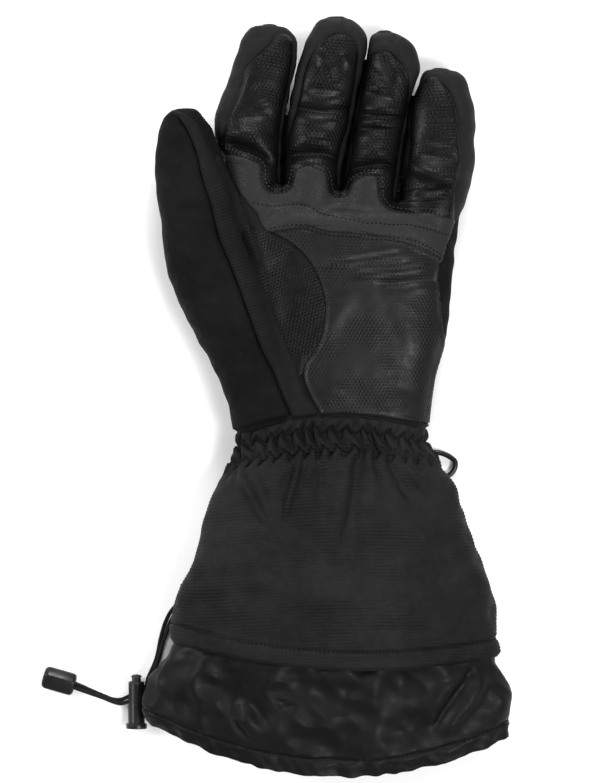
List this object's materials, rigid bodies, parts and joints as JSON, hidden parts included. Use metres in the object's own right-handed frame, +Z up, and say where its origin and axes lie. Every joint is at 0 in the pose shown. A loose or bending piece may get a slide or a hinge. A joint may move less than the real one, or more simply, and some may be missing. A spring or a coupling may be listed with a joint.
{
  "type": "snowmobile glove",
  "caption": "Left-hand insulated gauntlet glove lying palm up, with gathered wrist, flared cuff, snow skirt, draw cord with spring lock and a clip ring.",
  "frame": {"origin": "on the surface that the glove lies on, under the middle of the glove without its draw cord", "axes": "+Z up from the surface, out of the palm; +Y along the hand towards the fingertips; +X towards the little finger"},
  "size_m": [0.235, 0.3805, 0.044],
  "materials": {
    "softshell": "matt woven softshell",
    "leather": "dimpled leather, satin",
    "palm_leather": "smooth leather, satin",
    "stretch_rib": "ribbed stretch fabric",
    "ottoman": "fine ribbed fabric, matt",
    "nylon": "crinkled nylon, soft sheen",
    "braid": "braided cord, matt",
    "plastic": "moulded, satin"
  },
  "bodies": {
    "root": {"hand_back": "softshell", "index_back": "softshell", "middle_back": "softshell", "ring_back": "softshell", "little_back": "softshell", "thumb_back": "softshell", "fourchette_index_middle": "softshell", "fourchette_middle_ring": "softshell", "fourchette_ring_little": "softshell", "index_front": "leather", "middle_front": "leather", "ring_front": "leather", "little_front": "leather", "palm_lower": "leather", "thumb_gusset": "leather", "palm_patch": "palm_leather", "thumb_strip": "stretch_rib", "thumb_web": "stretch_rib", "gauntlet": "ottoman", "cord_tab": "ottoman", "clip_loop": "ottoman", "snow_skirt": "nylon", "draw_cord_a": "braid", "draw_cord_b": "braid", "cord_lock_barrel": "plastic", "cord_end": "plastic", "clip_ring": "plastic"},
    "plunger": {"cord_lock_plunger": "plastic"}
  },
  "joints": [
    {"name": "plunger_press", "type": "slide", "parent": "root", "child": "plunger", "axis": [0, -1, 0], "range_m": [0, 0.003], "stiffness_N_per_m": 500, "springref_m": -0.006}
  ]
}
